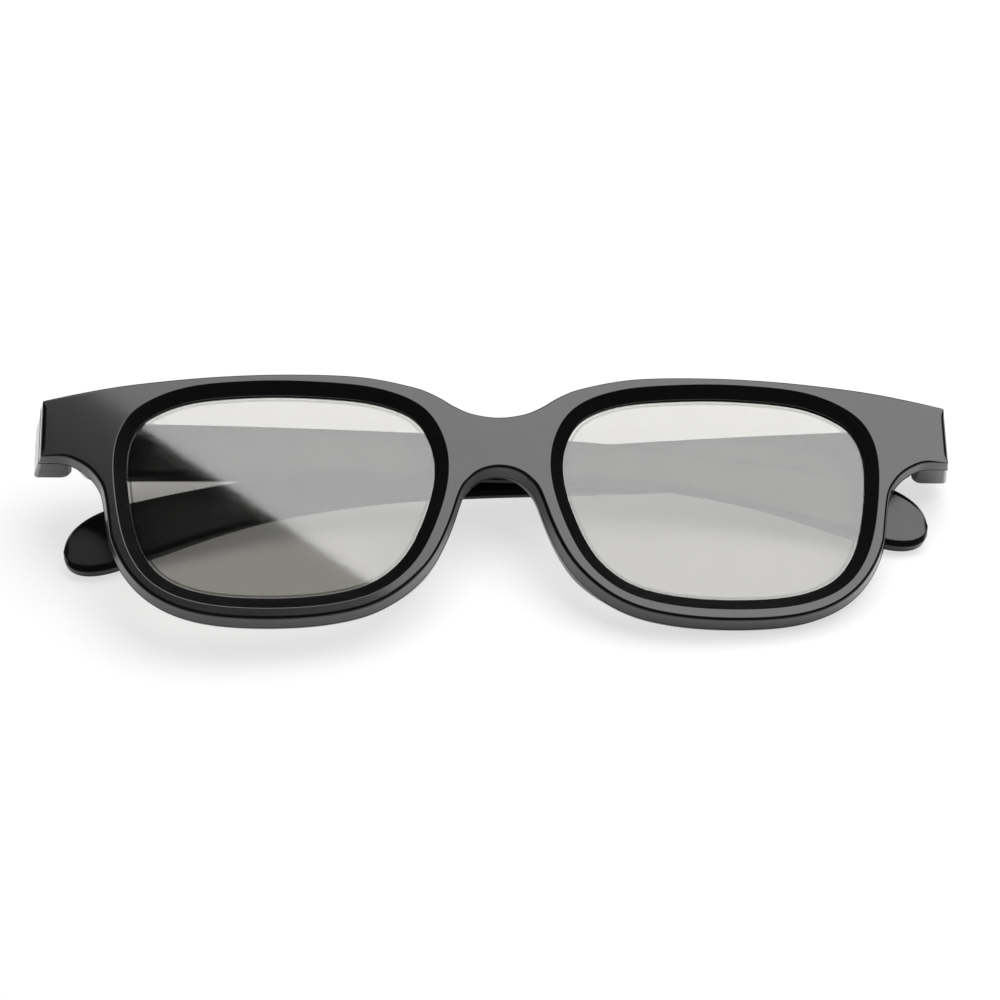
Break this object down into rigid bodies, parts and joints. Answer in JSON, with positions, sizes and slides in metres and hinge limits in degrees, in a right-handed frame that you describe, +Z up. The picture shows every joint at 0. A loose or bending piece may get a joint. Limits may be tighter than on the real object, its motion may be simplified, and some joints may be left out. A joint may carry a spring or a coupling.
{
  "type": "3D glasses",
  "caption": "Black plastic polarised 3D glasses, folded, with pinned hinged temples and layered film lenses held by snap-in retainers.",
  "frame": {"origin": "on the table, under the middle of the folded glasses' bounding box", "axes": "+Z up from the table; +X along the front, towards the wearer's left; the front faces -Y and leans back"},
  "size_m": [0.149, 0.0402, 0.0244],
  "materials": {
    "frame_plastic": "black, moulded to a gloss",
    "temple_plastic": "black, moulded to a gloss",
    "retainer_plastic": "black, satin",
    "retarder_film": "clear retarder film, glossy",
    "polariser_film": "neutral grey polariser film, glossy",
    "pin_steel": "plain drawn steel"
  },
  "bodies": {
    "front": {"front_frame": "frame_plastic", "right_retarder_film": "retarder_film", "left_retarder_film": "retarder_film", "right_polariser_film": "polariser_film", "left_polariser_film": "polariser_film", "right_lens_retainer": "retainer_plastic", "left_lens_retainer": "retainer_plastic", "right_hinge_pin": "pin_steel", "left_hinge_pin": "pin_steel"},
    "right_temple": {"right_temple": "temple_plastic"},
    "left_temple": {"left_temple": "temple_plastic"}
  },
  "joints": [
    {"name": "right_temple_fold", "type": "hinge", "parent": "front", "child": "right_temple", "pos_m": [-0.07027, 0.01226, 0.01487], "axis": [0.021, 0.9311, 0.3643], "range_deg": [0, 93]},
    {"name": "left_temple_fold", "type": "hinge", "parent": "front", "child": "left_temple", "pos_m": [0.0705, 0.01226, 0.00676], "axis": [-0.021, -0.9311, -0.3643], "range_deg": [0, 90]}
  ]
}
